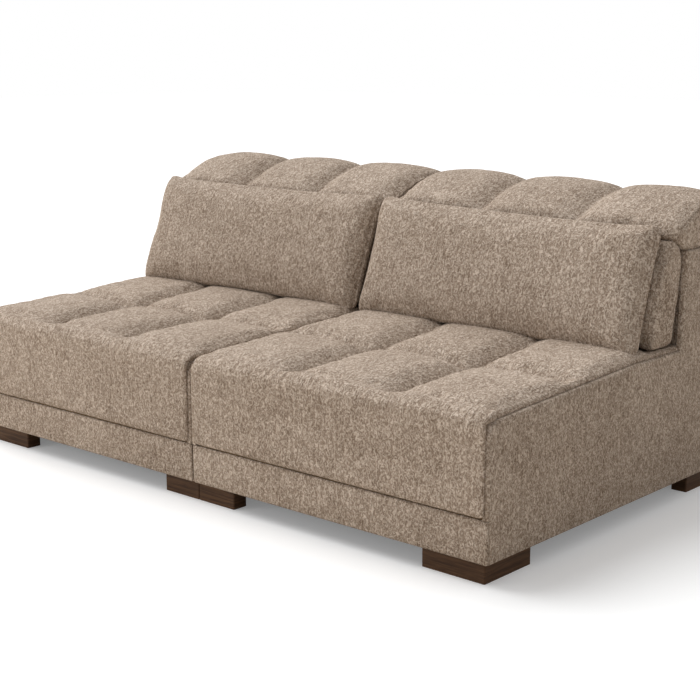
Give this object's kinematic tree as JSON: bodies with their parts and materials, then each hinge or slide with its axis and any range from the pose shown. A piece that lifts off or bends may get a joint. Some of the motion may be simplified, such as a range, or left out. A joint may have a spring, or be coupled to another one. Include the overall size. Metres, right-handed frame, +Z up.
{
  "type": "armless modular lounge sofa",
  "caption": "Deep armless lounge sofa of paired chaise modules with tufted seats, flip-up channelled headrests, loose lumbar pillows and low walnut block feet.",
  "frame": {"origin": "on the floor, below the middle of the sofa, at the seam between the modules", "axes": "+X along the sofa's width to the sitter's left, +Y from the seat front to the back, +Z up"},
  "size_m": [2.0006, 1.2, 0.858],
  "materials": {
    "upholstery": "matte",
    "walnut": "satin",
    "frame_timber": "matte",
    "plywood": "matte",
    "spring_steel": "satin",
    "hinge_steel": "satin",
    "bolt_steel": "satin",
    "felt": "matte",
    "webbing": "matte",
    "dust_cloth": "matte"
  },
  "bodies": {
    "base": {"left_front_rail": "frame_timber", "left_rear_rail": "frame_timber", "left_side_rails": "frame_timber", "left_spring_rail": "frame_timber", "left_centre_stretcher": "frame_timber", "left_corner_blocks": "frame_timber", "left_dust_cover": "dust_cloth", "left_front_corner_leg": "walnut", "left_front_block_leg": "walnut", "left_rear_corner_leg": "walnut", "left_rear_block_leg": "walnut", "left_seat_springs": "spring_steel", "left_spring_felt": "felt", "left_seat_cushion": "upholstery", "left_plinth_panel": "upholstery", "left_back_panel": "upholstery", "left_outer_side_panel": "upholstery", "left_inner_side_panel": "upholstery", "left_back_posts": "frame_timber", "left_back_deck": "upholstery", "left_lumbar_rail": "frame_timber", "left_back_webbing": "webbing", "left_back_pad": "upholstery", "left_hinge_brackets": "hinge_steel", "right_front_rail": "frame_timber", "right_rear_rail": "frame_timber", "right_side_rails": "frame_timber", "right_spring_rail": "frame_timber", "right_centre_stretcher": "frame_timber", "right_corner_blocks": "frame_timber", "right_dust_cover": "dust_cloth", "right_front_corner_leg": "walnut", "right_front_block_leg": "walnut", "right_rear_corner_leg": "walnut", "right_rear_block_leg": "walnut", "right_seat_springs": "spring_steel", "right_spring_felt": "felt", "right_seat_cushion": "upholstery", "right_plinth_panel": "upholstery", "right_back_panel": "upholstery", "right_outer_side_panel": "upholstery", "right_inner_side_panel": "upholstery", "right_back_posts": "frame_timber", "right_back_deck": "upholstery", "right_lumbar_rail": "frame_timber", "right_back_webbing": "webbing", "right_back_pad": "upholstery", "right_hinge_brackets": "hinge_steel", "leg_bolts": "bolt_steel", "spring_clips": "bolt_steel", "link_tongues": "hinge_steel", "link_sockets": "hinge_steel"},
    "left_headrest": {"left_headrest_board": "plywood", "left_headrest_pad": "upholstery", "left_hinge_arms": "hinge_steel"},
    "left_pillow": {"left_lumbar_pillow": "upholstery"},
    "right_headrest": {"right_headrest_board": "plywood", "right_headrest_pad": "upholstery", "right_hinge_arms": "hinge_steel"},
    "right_pillow": {"right_lumbar_pillow": "upholstery"}
  },
  "joints": [
    {"name": "left_headrest_tilt", "type": "hinge", "parent": "base", "child": "left_headrest", "pos_m": [-0.5003, 0.288, 0.699], "axis": [1, 0, 0], "range_deg": [0, 45]},
    {"name": "left_pillow_lift", "type": "slide", "parent": "base", "child": "left_pillow", "axis": [0, 0, 1], "range_m": [0, 0.45]},
    {"name": "right_headrest_tilt", "type": "hinge", "parent": "base", "child": "right_headrest", "pos_m": [0.5003, 0.288, 0.699], "axis": [1, 0, 0], "range_deg": [0, 45]},
    {"name": "right_pillow_lift", "type": "slide", "parent": "base", "child": "right_pillow", "axis": [0, 0, 1], "range_m": [0, 0.45]}
  ]
}
